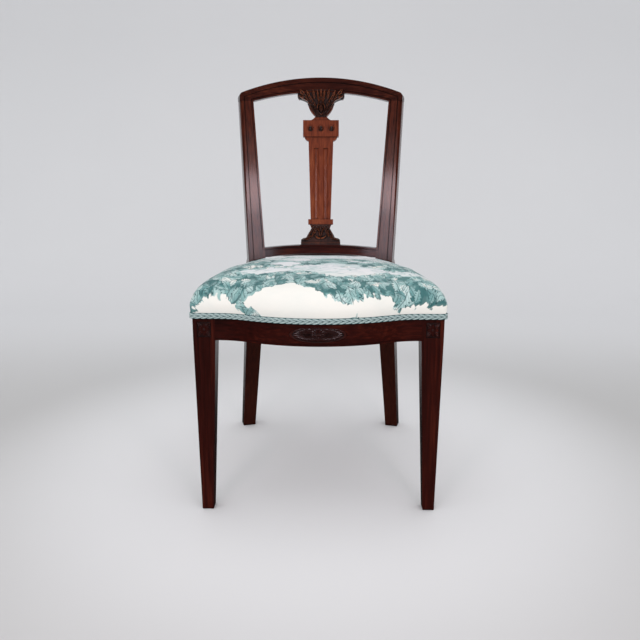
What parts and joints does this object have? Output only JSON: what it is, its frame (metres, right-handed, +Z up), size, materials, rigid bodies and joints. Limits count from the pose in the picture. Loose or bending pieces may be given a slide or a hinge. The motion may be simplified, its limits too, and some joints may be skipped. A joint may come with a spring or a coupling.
{
  "type": "side chair",
  "caption": "Neoclassical side chair with square tapered front legs, bowed open back, fluted splat and stuffed serpentine-front seat.",
  "frame": {"origin": "on the floor, under the middle of the chair", "axes": "+X to the right seen from the front, +Y to the back, +Z up"},
  "size_m": [0.503, 0.5593, 0.917],
  "materials": {
    "mahogany": "french polish, dark red-brown, glossy",
    "splat_mahogany": "french polish, orange-brown, glossy",
    "beech": "planed, unfinished",
    "screw_steel": "bare steel",
    "webbing": "woven jute",
    "printed_cotton": "printed cotton, teal foliage on cream",
    "cotton_wadding": "felted cotton",
    "horsehair": "curled horsehair",
    "hessian": "plain woven jute",
    "gimp": "plaited silk braid, pale blue-green"
  },
  "bodies": {
    "root": {"side_seat_rail_right": "mahogany", "side_seat_rail_left": "mahogany", "front_leg_right": "mahogany", "front_leg_left": "mahogany", "rear_leg_right": "mahogany", "rear_leg_left": "mahogany", "front_seat_rail": "mahogany", "rear_seat_rail": "mahogany", "lower_back_rail": "mahogany", "crest_rail": "mahogany", "splat": "splat_mahogany", "corner_block_front_right": "beech", "corner_block_front_left": "beech", "corner_block_rear_right": "beech", "corner_block_rear_left": "beech", "corner_block_screws": "screw_steel", "webbing_lengthwise": "webbing", "webbing_crosswise": "webbing", "seat_cover": "printed_cotton", "seat_wadding": "cotton_wadding", "seat_stuffing": "horsehair", "hessian": "hessian", "gimp_braid": "gimp"}
  },
  "joints": []
}
